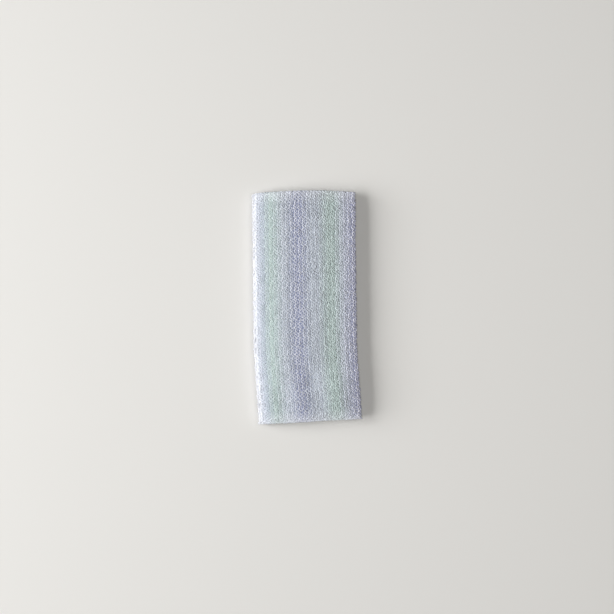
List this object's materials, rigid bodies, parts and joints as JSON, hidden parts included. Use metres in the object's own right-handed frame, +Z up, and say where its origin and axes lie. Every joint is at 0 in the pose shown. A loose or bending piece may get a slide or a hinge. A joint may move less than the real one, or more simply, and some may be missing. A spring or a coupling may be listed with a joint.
{
  "type": "body wash towel",
  "caption": "Knitted nylon body wash towel with soft lengthwise stripes, folded back and forth into a long flat pad that lies on a surface.",
  "frame": {"origin": "on the surface it rests on, under the middle of the folded pad", "axes": "+X across the folded pad towards its free selvages, +Y along it towards its folded end, +Z up"},
  "size_m": [0.1074, 0.2318, 0.018],
  "materials": {
    "nylon_knit": "open crimped nylon knit, matte with a faint sheen, in soft lengthwise stripes of mint green, lavender grey and blue violet"
  },
  "bodies": {
    "root": {"towel": "nylon_knit"}
  },
  "joints": []
}
